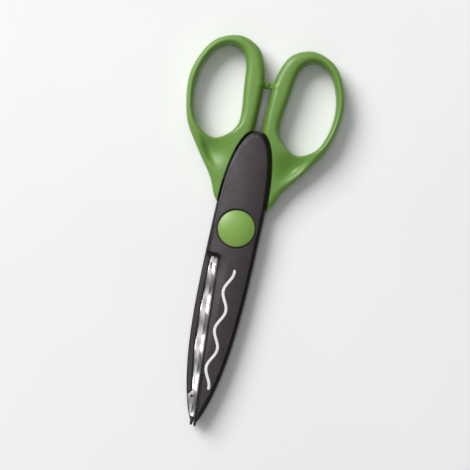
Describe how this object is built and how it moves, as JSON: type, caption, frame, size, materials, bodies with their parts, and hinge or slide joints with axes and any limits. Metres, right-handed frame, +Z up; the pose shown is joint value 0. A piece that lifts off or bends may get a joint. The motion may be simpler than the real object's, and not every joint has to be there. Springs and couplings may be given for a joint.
{
  "type": "decorative edge scissors",
  "caption": "Paper craft scissors that cut a long wave edge, with ribbed steel blade strips in crowned covers, a domed pivot cap and finger bows.",
  "frame": {"origin": "on the pivot axis, at the flat face of the rear pivot cap, which the scissors lie on", "axes": "+Y along the blades from pivot to tips, +Z up from the rest plane along the pivot axis to the front face, +X to the right seen from the front"},
  "size_m": [0.0668, 0.1646, 0.0116],
  "materials": {
    "black_plastic": "fine moulded grain, soft satin",
    "blade_steel": "ground and lightly brushed",
    "rivet_steel": "peened, blackened",
    "green_handle": "moulded, satin gloss",
    "screw_steel": "zinc plated",
    "post_steel": "turned",
    "bushing_plastic": "acetal",
    "slip_plastic": "smooth",
    "washer_steel": "stamped",
    "spring_steel": "blued spring steel",
    "green_cap": "moulded, satin gloss",
    "white_ink": "pad-printed ink"
  },
  "bodies": {
    "rear_half": {"rear_body": "black_plastic", "rear_blade": "blade_steel", "rear_blade_rivets": "rivet_steel", "rear_handle": "green_handle", "rear_handle_screws": "screw_steel", "pivot_post": "post_steel", "pivot_screw": "post_steel", "rear_bushing": "bushing_plastic", "centre_washer": "slip_plastic", "front_washer": "washer_steel", "rear_washer": "washer_steel", "spring_washer": "spring_steel", "rear_pivot_cap": "green_cap"},
    "front_half": {"front_body": "black_plastic", "front_blade": "blade_steel", "front_blade_rivets": "rivet_steel", "front_handle": "green_handle", "front_handle_screws": "screw_steel", "front_bushing": "bushing_plastic", "front_pivot_cap": "green_cap", "pattern_line": "white_ink"}
  },
  "joints": [
    {"name": "blade_pivot", "type": "hinge", "parent": "rear_half", "child": "front_half", "pos_m": [0, 0, 0.0055], "axis": [0, 0, 1], "range_deg": [0, 60]}
  ]
}
